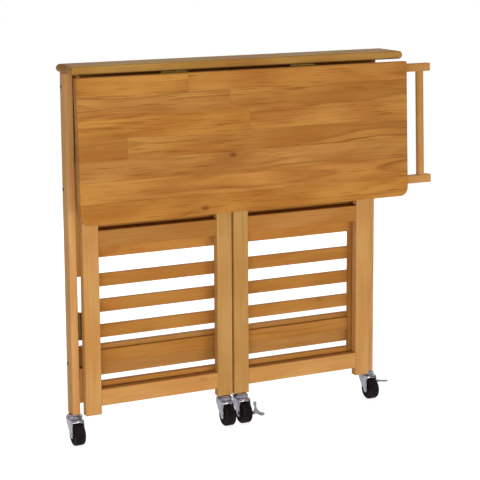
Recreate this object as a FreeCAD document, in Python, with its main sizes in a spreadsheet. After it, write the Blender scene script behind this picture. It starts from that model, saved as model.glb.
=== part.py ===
import FreeCAD, Part
import os
from Sketcher import Constraint

# Folding kitchen cart, shown folded: narrow worktop, hanging drop leaf, two hinged gates,
# two slatted shelves folded up behind them, and four stem casters.
# Front is -Y, right is +X, the floor is Z = 0.

doc = FreeCAD.newDocument("folding_cart")
sheet = doc.addObject("Spreadsheet::Sheet", "d")
places = doc.addObject("Spreadsheet::Sheet", "at")
nodes = []

driving = [
    # worktop
    ("top_width", 830),
    ("top_depth", 97),
    ("top_thick", 19),
    ("top_height", 860),
    ("top_round", 4),
    # drop leaf
    ("leaf_length", 319),
    ("leaf_thick", 19),
    ("leaf_inset", 0.7),
    ("leaf_corner", 20),
    ("leaf_round", 3),
    ("leaf_tilt", 2.3),
    ("leaf_drop", 1.5),
    ("pin_forward", 1),
    # butt hinges
    ("hinge_long", 63.5),
    ("hinge_wide", 22),
    ("hinge_sheet", 2),
    ("knuckle_gap", 0.3),
    ("pin_play", 0.05),
    ("leaf_knuckle", 3.2),
    ("leaf_pin", 1.6),
    ("leaf_hinge_pitch", 322),
    ("gate_knuckle", 2.8),
    ("gate_pin", 1.4),
    ("gate_hinge_low", 242),
    ("gate_hinge_drop", 201),
    # towel bar
    ("arm_high", 19),
    ("arm_deep", 20),
    ("arm_reach", 77),
    ("arm_lap", 56),
    ("arm_first", 9.5),
    ("arm_last", 25),
    ("dowel_rad", 9.5),
    ("dowel_out", 52),
    # gates
    ("gate_set", 36.5),
    ("gate_thick", 19),
    ("gate_meet", 4.8),
    ("gate_head", 4),
    ("stile_width", 38),
    ("rail_high", 38),
    ("low_rail_rise", 19.5),
    ("mid_rail_trim", 1.5),
    ("cleat_thick", 8),
    ("cleat_high", 12),
    ("edge_ease", 1.2),
    # back frame
    ("left_overhang", 5.8),
    ("right_overhang", 37.8),
    ("foot_height", 69),
    ("leg_width", 18),
    ("leg_depth", 33),
    ("leg_gap", 6.4),
    ("leg_behind", 2),
    ("back_thick", 12),
    ("back_high", 72),
    ("high_back_tall", 128),
    ("apron_high", 141),
    ("low_back", 148),
    ("high_back_drop", 24),
    ("bolt_drop", 31.5),
    ("bolt_rad", 3),
    ("bolt_head", 4.5),
    ("bolt_head_deep", 4),
    ("bolt_bite", 28),
    # shelves
    ("shelf_thick", 13),
    ("shelf_gap", 1),
    ("shelf_inset", 18),
    ("shelf_foot", 95),
    ("shelf_head", 25),
    ("shelf_between", 11),
    ("shelf_side", 30),
    ("shelf_front_rail", 26),
    ("shelf_rear_rail", 42),
    ("slat_count", 4),
    ("slat_width", 30),
    ("slat_thick", 8),
    ("slat_first", 84),
    ("slat_last", 94),
    ("pivot_rise", 12),
    ("pivot_rad", 4),
    ("pivot_reach", 12),
    ("pivot_bury", 20),
    ("block_high", 80),
    ("block_hang", 75),
    ("block_deep", 18),
    ("block_gap", 1),
    # casters
    ("caster_play", 0.4),
    ("stem_rad", 5.45),
    ("stem_long", 38),
    ("neck_rad", 15),
    ("neck_high", 4),
    ("cap_rad", 19),
    ("cap_high", 6),
    ("crown_thick", 3),
    ("cheek_thick", 2),
    ("cheek_back", 14),
    ("cheek_front", 26),
    ("boss_rad", 8),
    ("trail", 20),
    ("wheel_rad", 25),
    ("wheel_width", 24),
    ("wheel_side", 1),
    ("tread_bevel", 4),
    ("hub_rad", 9),
    ("axle_rad", 4),
    ("axle_end", 1.5),
    # brake levers
    ("lever_thick", 3),
    ("lever_hub", 7.5),
    ("lever_fore", 14),
    ("lever_leaf", 2.5),
    ("lever_half", 4),
    ("neck_out", 7.5),
    ("neck_up", 13),
    ("finger_out", 5.5),
    ("finger_up", 24),
    ("pedal_out", 27),
    ("pedal_down", 6),
    ("lever_turn", 90),
    ("lever_keep", 2),
]

derived = [
    ("frame_shift", "(d.left_overhang - d.right_overhang) / 2"),
    ("leg_out", "(d.top_width - d.left_overhang - d.right_overhang) / 2"),
    ("gate_in", "d.gate_meet / 2"),
    ("gate_out", "leg_out - d.leg_width - d.leg_gap"),
    ("gate_span", "gate_out - gate_in"),
    ("gate_axis", "gate_out + d.leg_gap / 2"),
    ("leg_in", "gate_out + d.leg_gap"),
    ("leg_x", "leg_in + d.leg_width / 2"),
    ("stile_x", "gate_in + d.stile_width / 2"),
    ("cap_over", "max(0; leg_x + d.cap_rad - frame_shift - d.top_width / 2)"),
    ("right_over", "d.arm_reach - d.leaf_inset"),
    ("arm_pitch", "d.leaf_drop + d.leaf_length - d.arm_first - d.arm_high - d.arm_last"),
    ("left_end", "(cap_over - right_over - d.top_width) / 2"),
    ("centre_x", "left_end + d.top_width / 2 + frame_shift"),
    ("leaf_left", "left_end + d.leaf_inset"),
    ("leaf_width", "d.top_width - 2 * d.leaf_inset"),
    ("lip_deep", "d.leaf_knuckle + d.leaf_thick - d.leaf_round"),
    ("lip_low", "d.leaf_drop + d.leaf_length - d.leaf_round"),
    ("lip_swing", "lip_deep * cos(d.leaf_tilt * 1 deg) + lip_low * sin(d.leaf_tilt * 1 deg)"),
    ("front_reach", "d.pin_forward + lip_swing + d.leaf_round"),
    ("front_y", "(front_reach - d.top_depth) / 2"),
    ("under_z", "d.top_height - d.top_thick"),
    ("pin_y", "front_y - d.pin_forward"),
    ("pin_z", "under_z - d.leaf_knuckle"),
    ("gate_front", "front_y + d.gate_set"),
    ("gate_back", "gate_front + d.gate_thick"),
    ("gate_mid", "gate_front + d.gate_thick / 2"),
    ("gate_top", "under_z - d.gate_head"),
    ("shelf_long", "(under_z - d.shelf_head - d.shelf_foot - d.shelf_between) / 2"),
    ("shelf_rise", "shelf_long + d.shelf_between"),
    ("slat_pitch", "(shelf_long - d.slat_first - d.slat_last) / (d.slat_count - 1)"),
    ("high_back", "d.low_back + shelf_rise - d.high_back_drop"),
    ("mid_rail_rise", "d.low_rail_rise + shelf_rise - d.mid_rail_trim"),
    ("gate_hinge_high", "under_z - d.gate_hinge_drop"),
    ("gate_axis_y", "gate_back + d.leg_behind / 2"),
    ("rail_long", "gate_span - 2 * d.stile_width"),
    ("leg_front", "gate_back + d.leg_behind"),
    ("leg_back", "leg_front + d.leg_depth"),
    ("leg_mid", "leg_front + d.leg_depth / 2"),
    ("back_y", "leg_back - d.back_thick"),
    ("back_mid", "leg_back - d.back_thick / 2"),
    ("shelf_y", "back_y - d.shelf_gap - d.shelf_thick"),
    ("shelf_half", "leg_in - d.shelf_inset"),
    ("slat_long", "2 * (shelf_half - d.shelf_side)"),
    ("slat_y", "shelf_y + d.shelf_thick - d.slat_thick"),
    ("pivot_y", "shelf_y + d.shelf_thick / 2"),
    ("block_thick", "d.shelf_inset - d.block_gap"),
    ("block_y", "back_y - d.shelf_gap - d.block_deep"),
    ("high_block", "d.shelf_foot + shelf_rise - d.block_hang"),
    ("high_block_tall", "gate_hinge_high - d.shelf_gap - high_block"),
    ("cleat_top", "d.shelf_foot + d.pivot_rise - d.shelf_thick / 2"),
    ("cap_top", "d.foot_height - d.caster_play"),
    ("crown_top", "cap_top - d.neck_high - d.cap_high"),
    ("fork_in", "d.wheel_width / 2 + d.wheel_side"),
    ("fork_out", "fork_in + d.cheek_thick"),
    ("knuckle_long", "(d.hinge_long - 2 * d.knuckle_gap) / 3"),
    ("bolt_low", "d.low_back + d.back_high / 2"),
    ("bolt_mid", "high_back + d.high_back_tall - d.back_high / 2"),
    ("bolt_high", "under_z - d.bolt_drop"),
]


def fill(table, rows, formula):
    for number, (alias, value) in enumerate(rows, 1):
        table.set("A%d" % number, alias)
        table.set("B%d" % number, ("=%s" if formula else "%s") % value)
        table.setAlias("B%d" % number, alias)


fill(sheet, driving, False)
doc.recompute()
fill(places, derived, True)
doc.recompute()

along = {
    "z": FreeCAD.Rotation(),
    "x": FreeCAD.Rotation(FreeCAD.Vector(0, 1, 0), 90),
    "y": FreeCAD.Rotation(FreeCAD.Vector(1, 0, 0), -90),
}


def bind(item, **sizes):
    for name, expression in sizes.items():
        item.setExpression(name, expression)


def place(item, x="0", y="0", z="0"):
    for axis, expression in zip("xyz", (x, y, z)):
        item.setExpression("Placement.Base." + axis, expression)


def keep(item, label):
    item.Label = label
    nodes.append(item)
    return item


def board(label, size, corner, inner=("0", "0", "0"), eased=True):
    # a plain board with eased edges, its corner at the given place
    body = keep(doc.addObject("PartDesign::Body", label), label)
    block = body.newObject("PartDesign::AdditiveBox", label + "_block")
    bind(block, Length=size[0], Width=size[1], Height=size[2])
    place(block, *inner)
    if eased:
        ease = body.newObject("PartDesign::Chamfer", label + "_ease")
        ease.Base = (block, ["Edge1"])
        ease.UseAllEdges = True
        bind(ease, Size="d.edge_ease")
    place(body, *corner)
    return body


def drill(body, radius, depth, mouth, axis):
    hole = body.newObject("PartDesign::SubtractiveCylinder", body.Name + "_hole")
    hole.Placement = FreeCAD.Placement(FreeCAD.Vector(), along[axis])
    bind(hole, Radius=radius, Height=depth)
    place(hole, *mouth)
    return hole


def rod(name, radius, length, start, axis="z"):
    item = doc.addObject("Part::Cylinder", name)
    item.Placement = FreeCAD.Placement(FreeCAD.Vector(), along[axis])
    bind(item, Radius=radius, Height=length)
    place(item, *start)
    return item


def slab(name, size, corner):
    item = doc.addObject("Part::Box", name)
    bind(item, Length=size[0], Width=size[1], Height=size[2])
    place(item, *corner)
    return item


def join(name, items):
    item = doc.addObject("Part::MultiFuse", name)
    item.Shapes = items
    return item


def cut(name, base, tool):
    item = doc.addObject("Part::Cut", name)
    item.Base = base
    item.Tool = tool
    return item


def group(name, items):
    item = doc.addObject("Part::Compound", name)
    item.Links = items
    return item


# sides run from the middle of the frame: left first, then right
def near(side, distance, width):
    if side == "left":
        return "at.centre_x - (%s) - (%s)" % (distance, width)
    return "at.centre_x + (%s)" % distance


def mirror(side, distance):
    return "at.centre_x %s (%s)" % ("-" if side == "left" else "+", distance)


# worktop: flat board with a half-round back edge and half-round ends
blank = doc.addObject("PartDesign::Body", "worktop_blank")
slab_top = blank.newObject("PartDesign::AdditiveBox", "worktop_block")
bind(slab_top, Length="d.top_width", Width="d.top_depth - d.top_thick / 2", Height="d.top_thick")
doc.recompute()
front_edges = []
for number, edge in enumerate(slab_top.Shape.Edges, 1):
    if all(abs(vertex.Y) < 0.001 for vertex in edge.Vertexes) and edge.BoundBox.XLength > 1:
        front_edges.append("Edge%d" % number)
front_round = blank.newObject("PartDesign::Fillet", "worktop_front")
front_round.Base = (slab_top, front_edges)
bind(front_round, Radius="d.top_round")
nose = blank.newObject("PartDesign::AdditiveCylinder", "worktop_nose")
nose.Placement = FreeCAD.Placement(FreeCAD.Vector(), along["x"])
bind(nose, Radius="d.top_thick / 2", Height="d.top_width")
place(nose, "0", "d.top_depth - d.top_thick / 2", "d.top_thick / 2")
end_parts = [slab(
    "worktop_between",
    ("d.top_width - d.top_thick", "d.top_depth", "d.top_thick"),
    ("d.top_thick / 2", "0", "0"),
)]
for side, end_x in (("left", "d.top_thick / 2"), ("right", "d.top_width - d.top_thick / 2")):
    end_parts.append(rod(
        "worktop_%s_end" % side, "d.top_thick / 2", "d.top_depth", (end_x, "0", "d.top_thick / 2"), "y"
    ))
top = keep(doc.addObject("Part::Common", "worktop"), "worktop")
top.Base = blank
top.Tool = join("worktop_ends", end_parts)
place(top, "at.left_end", "at.front_y", "at.under_z")


# everything on the leaf is drawn hanging from the hinge pin, then swung out by the tilt
def hang(item):
    item.Placement = FreeCAD.Placement(
        FreeCAD.Vector(), FreeCAD.Rotation(FreeCAD.Vector(-1, 0, 0), 2)
    )
    item.setExpression("Placement.Rotation.Angle", "d.leaf_tilt")
    place(item, "at.leaf_left", "at.pin_y", "at.pin_z")


def plane(body, role):
    return [item for item in body.Origin.OriginFeatures if item.Role == role][0]


# drop leaf: outline with two rounded lower corners, all edges rounded over
leaf = keep(doc.addObject("PartDesign::Body", "leaf"), "leaf")
outline = leaf.newObject("Sketcher::SketchObject", "leaf_outline")
outline.AttachmentSupport = (plane(leaf, "XZ_Plane"), [""])
outline.MapMode = "FlatFace"
outline.setExpression("AttachmentOffset.Base.z", "d.leaf_knuckle")
wide, tall, bend = 800.0, 300.0, 20.0
corners = [(0, -1), (wide, -1), (wide, bend - tall), (wide - bend, -tall), (bend, -tall), (0, bend - tall)]
spots = [FreeCAD.Vector(x, z, 0) for x, z in corners]
right_arc = Part.Circle(FreeCAD.Vector(wide - bend, bend - tall, 0), FreeCAD.Vector(0, 0, 1), bend)
left_arc = Part.Circle(FreeCAD.Vector(bend, bend - tall, 0), FreeCAD.Vector(0, 0, 1), bend)
quarter = 1.5707963267948966
hinge_edge = outline.addGeometry(Part.LineSegment(spots[0], spots[1]))
right_edge = outline.addGeometry(Part.LineSegment(spots[1], spots[2]))
right_bend = outline.addGeometry(Part.ArcOfCircle(right_arc, -quarter, 0))
lower_edge = outline.addGeometry(Part.LineSegment(spots[3], spots[4]))
left_bend = outline.addGeometry(Part.ArcOfCircle(left_arc, 2 * quarter, 3 * quarter))
left_edge = outline.addGeometry(Part.LineSegment(spots[5], spots[0]))
outline.addConstraint(Constraint("Coincident", hinge_edge, 2, right_edge, 1))
outline.addConstraint(Constraint("Tangent", right_edge, 2, right_bend, 2))
outline.addConstraint(Constraint("Tangent", right_bend, 1, lower_edge, 1))
outline.addConstraint(Constraint("Tangent", lower_edge, 2, left_bend, 2))
outline.addConstraint(Constraint("Tangent", left_bend, 1, left_edge, 1))
outline.addConstraint(Constraint("Coincident", left_edge, 2, hinge_edge, 1))
outline.addConstraint(Constraint("Horizontal", hinge_edge))
outline.addConstraint(Constraint("Horizontal", lower_edge))
outline.addConstraint(Constraint("Vertical", right_edge))
outline.addConstraint(Constraint("Vertical", left_edge))
outline.addConstraint(Constraint("Equal", right_bend, left_bend))
outline.addConstraint(Constraint("PointOnObject", hinge_edge, 1, -2))
sized = [
    (Constraint("Radius", right_bend, bend), "d.leaf_corner"),
    (Constraint("DistanceX", hinge_edge, 1, hinge_edge, 2, wide), "at.leaf_width"),
    (Constraint("DistanceY", lower_edge, 2, hinge_edge, 1, tall), "d.leaf_length"),
    (Constraint("DistanceY", hinge_edge, 1, -1, 1, 1.0), "d.leaf_drop"),
]
for constraint, expression in sized:
    number = outline.addConstraint(constraint)
    outline.setExpression("Constraints[%d]" % number, expression)
pad = leaf.newObject("PartDesign::Pad", "leaf_pad")
pad.Profile = outline
bind(pad, Length="d.leaf_thick")
doc.recompute()
over = leaf.newObject("PartDesign::Fillet", "leaf_over")
over.Base = (pad, ["Edge1"])
over.UseAllEdges = True
bind(over, Radius="d.leaf_round")
hang(leaf)

# towel bar: two arms screwed behind the leaf's right end, and a dowel between them
arm_size = ("d.arm_lap + d.arm_reach", "d.arm_deep", "d.arm_high")
for label, lower in (("towel_arm_upper", "0"), ("towel_arm_lower", "at.arm_pitch")):
    seat = ("at.leaf_width - d.arm_lap", "-d.leaf_knuckle", "-d.arm_first - d.arm_high - " + lower)
    hang(board(label, arm_size, ("0", "0", "0"), seat))
dowel_start = (
    "at.leaf_width + d.dowel_out",
    "d.arm_deep / 2 - d.leaf_knuckle",
    "-d.arm_first - at.arm_pitch",
)
dowel = rod("dowel_rod", "d.dowel_rad", "at.arm_pitch - d.arm_high", dowel_start)
dowel_set = keep(group("dowel_set", [dowel]), "towel_dowel")
hang(dowel_set)


# butt hinge along X under the worktop: outer knuckles and pin fixed, middle knuckle on the leaf
def leaf_hinge(name, shift):
    start = "at.leaf_width / 2 + at.frame_shift %s - d.hinge_long / 2" % shift
    step = "at.knuckle_long + d.knuckle_gap"
    fixed = []
    for number, offset in enumerate(("0", "2 * (%s)" % step)):
        x = "%s + %s" % (start, offset)
        round_part = rod("%s_k%d" % (name, number), "d.leaf_knuckle", "at.knuckle_long", (x, "0", "0"), "x")
        flat = slab(
            "%s_f%d" % (name, number),
            ("at.knuckle_long", "d.hinge_wide", "d.hinge_sheet"),
            (x, "0", "d.leaf_knuckle - d.hinge_sheet"),
        )
        fixed += [round_part, flat]
    middle_plate = slab(
        name + "_web",
        ("d.hinge_long", "d.hinge_wide - d.leaf_knuckle - d.knuckle_gap", "d.hinge_sheet"),
        (start, "d.leaf_knuckle + d.knuckle_gap", "d.leaf_knuckle - d.hinge_sheet"),
    )
    pin = rod(name + "_pin", "d.leaf_pin", "d.hinge_long", (start, "0", "0"), "x")
    still = join(name + "_fixed", fixed + [middle_plate, pin])
    x = "%s + %s" % (start, step)
    barrel = rod(name + "_km", "d.leaf_knuckle", "at.knuckle_long", (x, "0", "0"), "x")
    tongue = slab(
        name + "_tongue",
        ("at.knuckle_long", "d.hinge_sheet", "d.hinge_wide"),
        (x, "-d.leaf_knuckle", "-d.hinge_wide"),
    )
    plate = slab(
        name + "_plate",
        ("d.hinge_long", "d.hinge_sheet", "d.hinge_wide - d.leaf_knuckle - d.knuckle_gap"),
        (start, "-d.leaf_knuckle", "-d.hinge_wide"),
    )
    bore = rod(name + "_bore", "d.leaf_pin + d.pin_play", "at.knuckle_long", (x, "0", "0"), "x")
    moving = cut(name + "_moving", join(name + "_leafside", [barrel, tongue, plate]), bore)
    return still, moving


pairs = [
    leaf_hinge("leaf_hinge_a", "- d.leaf_hinge_pitch / 2"),
    leaf_hinge("leaf_hinge_b", "+ d.leaf_hinge_pitch / 2"),
]
fixed_plates = keep(group("leaf_hinge_top", [pair[0] for pair in pairs]), "leaf_hinges_fixed")
place(fixed_plates, "at.leaf_left", "at.pin_y", "at.pin_z")
swing_plates = keep(group("leaf_hinge_leaf", [pair[1] for pair in pairs]), "leaf_hinges_moving")
hang(swing_plates)

# back frame: two legs, an apron under the worktop and two rails between the legs
levels = ("at.bolt_low", "at.bolt_mid", "at.bolt_high")
for side in ("left", "right"):
    leg = board(
        "leg_" + side,
        ("d.leg_width", "d.leg_depth", "at.under_z - d.foot_height"),
        (near(side, "at.leg_in", "d.leg_width"), "at.leg_front", "d.foot_height"),
    )
    middle = ("d.leg_width / 2", "d.leg_depth / 2", "0")
    drill(leg, "d.stem_rad + d.pin_play", "d.stem_long + d.caster_play", middle, "z")
    for level in levels:
        spot = ("0", "d.leg_depth - d.back_thick / 2", level + " - d.foot_height")
        drill(leg, "d.bolt_rad", "d.leg_width", spot, "x")
        head_x = "0" if side == "left" else "d.leg_width - d.bolt_head_deep"
        drill(leg, "d.bolt_head", "d.bolt_head_deep", (head_x,) + spot[1:], "x")

rails = [
    ("apron", "d.apron_high", "at.under_z - d.apron_high", "at.bolt_high"),
    ("back_rail_upper", "d.high_back_tall", "at.high_back", "at.bolt_mid"),
    ("back_rail_lower", "d.back_high", "d.low_back", "at.bolt_low"),
]
for label, high, low, level in rails:
    rail = board(
        label,
        ("2 * at.leg_in", "d.back_thick", high),
        ("at.centre_x - at.leg_in", "at.back_y", low),
    )
    spot = ("0", "d.back_thick / 2", "%s - (%s)" % (level, low))
    drill(rail, "d.bolt_rad", "d.bolt_bite", spot, "x")
    drill(rail, "d.bolt_rad", "d.bolt_bite", ("2 * at.leg_in - d.bolt_bite",) + spot[1:], "x")

# frame bolts: sunk heads on the outer faces of the legs
for side in ("left", "right"):
    bolts = []
    for number, level in enumerate(levels):
        shank_long = "d.leg_width + d.bolt_bite - d.bolt_head_deep"
        tag = "bolt_%s%d" % (side, number)
        shank_x = near(side, "at.leg_in - d.bolt_bite", shank_long)
        head_x = near(side, "at.leg_in + d.leg_width - d.bolt_head_deep", "d.bolt_head_deep")
        shank = rod(tag + "_shank", "d.bolt_rad", shank_long, (shank_x, "at.back_mid", level), "x")
        head = rod(tag + "_head", "d.bolt_head", "d.bolt_head_deep", (head_x, "at.back_mid", level), "x")
        bolts.append(join(tag, [shank, head]))
    keep(group("bolts_" + side, bolts), "frame_bolts_" + side)

# gates: two open frames hinged to the legs, each on a caster at its free end
for side in ("left", "right"):
    tall = "at.gate_top - d.foot_height"
    stile = ("d.stile_width", "d.gate_thick", tall)
    outer_x = near(side, "at.gate_out - d.stile_width", "d.stile_width")
    inner_x = near(side, "at.gate_in", "d.stile_width")
    board(side + "_gate_outer_stile", stile, (outer_x, "at.gate_front", "d.foot_height"))
    free = board(side + "_gate_free_stile", stile, (inner_x, "at.gate_front", "d.foot_height"))
    middle = ("d.stile_width / 2", "d.gate_thick / 2", "0")
    drill(free, "d.stem_rad + d.pin_play", "d.stem_long + d.caster_play", middle, "z")
    rail_x = near(side, "at.gate_in + d.stile_width", "at.rail_long")
    heights = [
        ("low", "d.foot_height + d.low_rail_rise"),
        ("mid", "d.foot_height + at.mid_rail_rise"),
        ("top", "at.gate_top - d.rail_high"),
    ]
    for level, low in heights:
        label = "%s_gate_%s_rail" % (side, level)
        board(label, ("at.rail_long", "d.gate_thick", "d.rail_high"), (rail_x, "at.gate_front", low))
    cleats = []
    for level, rise in (("low", "0"), ("mid", "at.shelf_rise")):
        cleat_low = "at.cleat_top - d.cleat_high + " + rise
        cleat_size = ("at.rail_long", "d.cleat_thick", "d.cleat_high")
        cleats.append(slab("%s_%s_cleat" % (side, level), cleat_size, (rail_x, "at.gate_back", cleat_low)))
    keep(group(side + "_cleats", cleats), side + "_gate_cleats")


# butt hinge along Z between a leg's inner face and a gate's back face
def gate_hinge(side, name, low):
    axis = (mirror(side, "at.gate_axis"), "at.gate_axis_y")
    step = "at.knuckle_long + d.knuckle_gap"
    fixed = []
    for number, offset in enumerate(("0", "2 * (%s)" % step)):
        z = "%s + %s" % (low, offset)
        fixed.append(rod("%s_k%d" % (name, number), "d.gate_knuckle", "at.knuckle_long", axis + (z,)))
        fixed.append(
            slab(
                "%s_f%d" % (name, number),
                ("d.hinge_sheet", "d.hinge_wide", "at.knuckle_long"),
                (near(side, "at.leg_in - d.hinge_sheet", "d.hinge_sheet"), "at.gate_axis_y", z),
            )
        )
    clear = "d.gate_knuckle + d.knuckle_gap"
    web = slab(
        name + "_web",
        ("d.hinge_sheet", "d.hinge_wide - (%s)" % clear, "d.hinge_long"),
        (near(side, "at.leg_in - d.hinge_sheet", "d.hinge_sheet"), "at.gate_axis_y + " + clear, low),
    )
    pin = rod(name + "_pin", "d.gate_pin", "d.hinge_long", axis + (low,))
    still = join(name + "_fixed", fixed + [web, pin])
    z = "%s + %s" % (low, step)
    barrel = rod(name + "_km", "d.gate_knuckle", "at.knuckle_long", axis + (z,))
    tongue_long = "d.hinge_wide"
    tongue = slab(
        name + "_tongue",
        (tongue_long, "d.hinge_sheet", "at.knuckle_long"),
        (near(side, "at.gate_axis - d.hinge_wide", tongue_long), "at.gate_back", z),
    )
    plate_long = "d.hinge_wide - (%s)" % clear
    plate = slab(
        name + "_plate",
        (plate_long, "d.hinge_sheet", "d.hinge_long"),
        (near(side, "at.gate_axis - d.hinge_wide", plate_long), "at.gate_back", low),
    )
    bore = rod(name + "_bore", "d.gate_pin + d.pin_play", "at.knuckle_long", axis + (z,))
    moving = cut(name + "_moving", join(name + "_gateside", [barrel, tongue, plate]), bore)
    return still, moving


for side in ("left", "right"):
    pairs = [
        gate_hinge(side, side + "_hinge_a", "d.gate_hinge_low"),
        gate_hinge(side, side + "_hinge_b", "at.gate_hinge_high"),
    ]
    keep(group(side + "_hinge_legs", [pair[0] for pair in pairs]), side + "_gate_hinges_fixed")
    keep(group(side + "_hinge_gates", [pair[1] for pair in pairs]), side + "_gate_hinges_moving")

# pivot blocks on the inner faces of the legs: short ones low down, long ones up to the gate hinges
blocks = [
    ("lower", "d.shelf_foot", "d.block_high", "d.pivot_rise"),
    ("upper", "at.high_block", "at.high_block_tall", "d.block_hang + d.pivot_rise"),
]
for level, low, tall, hole_z in blocks:
    for side in ("left", "right"):
        block = board(
            "%s_pivot_block_%s" % (level, side),
            ("at.block_thick", "d.block_deep", tall),
            (near(side, "at.leg_in - at.block_thick", "at.block_thick"), "at.block_y", low),
        )
        mouth = ("0", "at.pivot_y - at.block_y", hole_z)
        drill(block, "d.pivot_rad + d.pin_play", "at.block_thick", mouth, "x")

# shelves: frame of two sides and two rails with slats between, folded up on their pivots
for level, rise in (("lower", "0"), ("upper", "at.shelf_rise")):
    foot = "d.shelf_foot + " + rise
    left_x = "at.centre_x - at.shelf_half"
    inner_x = "at.centre_x - at.shelf_half + d.shelf_side"
    for side in ("left", "right"):
        side_board = board(
            "%s_shelf_%s_side" % (level, side),
            ("d.shelf_side", "d.shelf_thick", "at.shelf_long"),
            (near(side, "at.shelf_half - d.shelf_side", "d.shelf_side"), "at.shelf_y", foot),
        )
        hole_x = "0" if side == "left" else "d.shelf_side - d.pivot_bury"
        drill(side_board, "d.pivot_rad", "d.pivot_bury", (hole_x, "d.shelf_thick / 2", "d.pivot_rise"), "x")
    board(
        level + "_shelf_rear_rail",
        ("at.slat_long", "d.shelf_thick", "d.shelf_rear_rail"),
        (inner_x, "at.shelf_y", foot),
    )
    board(
        level + "_shelf_front_rail",
        ("at.slat_long", "d.shelf_thick", "d.shelf_front_rail"),
        (inner_x, "at.shelf_y", foot + " + at.shelf_long - d.shelf_front_rail"),
    )
    slats = []
    for number in range(int(sheet.slat_count)):
        slat_z = "%s + d.slat_first + %d * at.slat_pitch" % (foot, number)
        slat = slab(
            "%s_slat_%d" % (level, number),
            ("at.slat_long", "d.slat_thick", "d.slat_width"),
            (inner_x, "at.slat_y", slat_z),
        )
        slats.append(slat)
    keep(group(level + "_slats", slats), level + "_shelf_slats")
    pins = []
    pin_long = "d.pivot_bury + d.block_gap + d.pivot_reach"
    for side in ("left", "right"):
        pin_x = near(side, "at.shelf_half - d.pivot_bury", pin_long)
        pin_z = "%s + d.pivot_rise" % foot
        start = (pin_x, "at.pivot_y", pin_z)
        pins.append(rod("%s_pin_%s" % (level, side), "d.pivot_rad", pin_long, start, "x"))
    keep(group(level + "_pins", pins), level + "_shelf_pivot_pins")


# stem caster, drawn with its swivel axis on Z and its wheel trailing to the front
def caster(number, x, y, braked):
    tag = "caster_%d" % number
    stem = rod(tag + "_stem", "d.stem_rad", "d.stem_long", ("0", "0", "at.cap_top"))
    neck = rod(tag + "_neck", "d.neck_rad", "d.neck_high", ("0", "0", "at.cap_top - d.neck_high"))
    cap = rod(tag + "_cap", "d.cap_rad", "d.cap_high", ("0", "0", "at.crown_top"))
    crown = slab(
        tag + "_crown",
        ("2 * at.fork_out", "d.cheek_back + d.cheek_front", "d.crown_thick"),
        ("-at.fork_out", "-d.cheek_front", "at.crown_top - d.crown_thick"),
    )
    pieces = [stem, neck, cap, crown]
    for side, start in (("l", "-at.fork_out"), ("r", "at.fork_in")):
        cheek = doc.addObject("Part::Wedge", tag + "_cheek_" + side)
        turn = FreeCAD.Rotation(FreeCAD.Vector(1, 1, 1), 120)
        cheek.Placement = FreeCAD.Placement(FreeCAD.Vector(), turn)
        bind(
            cheek,
            Xmin="-d.trail - d.boss_rad",
            Xmax="d.boss_rad - d.trail",
            X2min="-d.cheek_front",
            X2max="d.cheek_back",
            Ymin="d.wheel_rad",
            Ymax="at.crown_top",
            Zmin=start,
            Zmax=start + " + d.cheek_thick",
            Z2min=start,
            Z2max=start + " + d.cheek_thick",
        )
        boss_start = (start, "-d.trail", "d.wheel_rad")
        boss = rod(tag + "_boss_" + side, "d.boss_rad", "d.cheek_thick", boss_start, "x")
        pieces += [cheek, boss]
    eye_start = ("-at.fork_out", "-d.trail", "d.wheel_rad")
    axle_hole = rod(tag + "_eye", "d.axle_rad", "2 * at.fork_out", eye_start, "x")
    fork = keep(cut(tag + "_cut", join(tag + "_frame", pieces), axle_hole), "fork_%d" % number)
    place(fork, x, y, "0")

    extra = "d.lever_thick + d.lever_keep + d.knuckle_gap" if braked else "d.axle_end"
    axle = rod(
        tag + "_axle_rod",
        "d.axle_rad",
        "2 * at.fork_out + d.axle_end + " + extra,
        ("-at.fork_out - d.axle_end", "-d.trail", "d.wheel_rad"),
        "x",
    )
    axle_set = keep(group(tag + "_axle", [axle]), "axle_%d" % number)
    place(axle_set, x, y, "0")

    flat = "d.wheel_width - 2 * d.tread_bevel"
    tread = rod(tag + "_tread", "d.wheel_rad", flat, ("d.tread_bevel - d.wheel_width / 2", "0", "0"), "x")
    shoulders = []
    for side, start, rise in (("l", "-d.wheel_width / 2", 1), ("r", "d.wheel_width / 2 - d.tread_bevel", -1)):
        cone = doc.addObject("Part::Cone", tag + "_shoulder_" + side)
        cone.Placement = FreeCAD.Placement(FreeCAD.Vector(), along["x"])
        small, large = "d.wheel_rad - d.tread_bevel", "d.wheel_rad"
        bind(cone, Height="d.tread_bevel")
        bind(cone, Radius1=small if rise > 0 else large, Radius2=large if rise > 0 else small)
        place(cone, start)
        shoulders.append(cone)
    hub = rod(
        tag + "_hub",
        "d.hub_rad",
        "d.wheel_width + d.wheel_side",
        ("-(d.wheel_width + d.wheel_side) / 2", "0", "0"),
        "x",
    )
    bore = rod(
        tag + "_bore",
        "d.axle_rad + d.pin_play",
        "d.wheel_width + d.wheel_side",
        ("-(d.wheel_width + d.wheel_side) / 2", "0", "0"),
        "x",
    )
    disc = join(tag + "_disc", [tread, hub] + shoulders)
    wheel = keep(cut(tag + "_wheel", disc, bore), "wheel_%d" % number)
    place(wheel, x, "%s - d.trail" % y, "d.wheel_rad")

    if braked:
        brake(number, x, y, number == 4)


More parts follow.
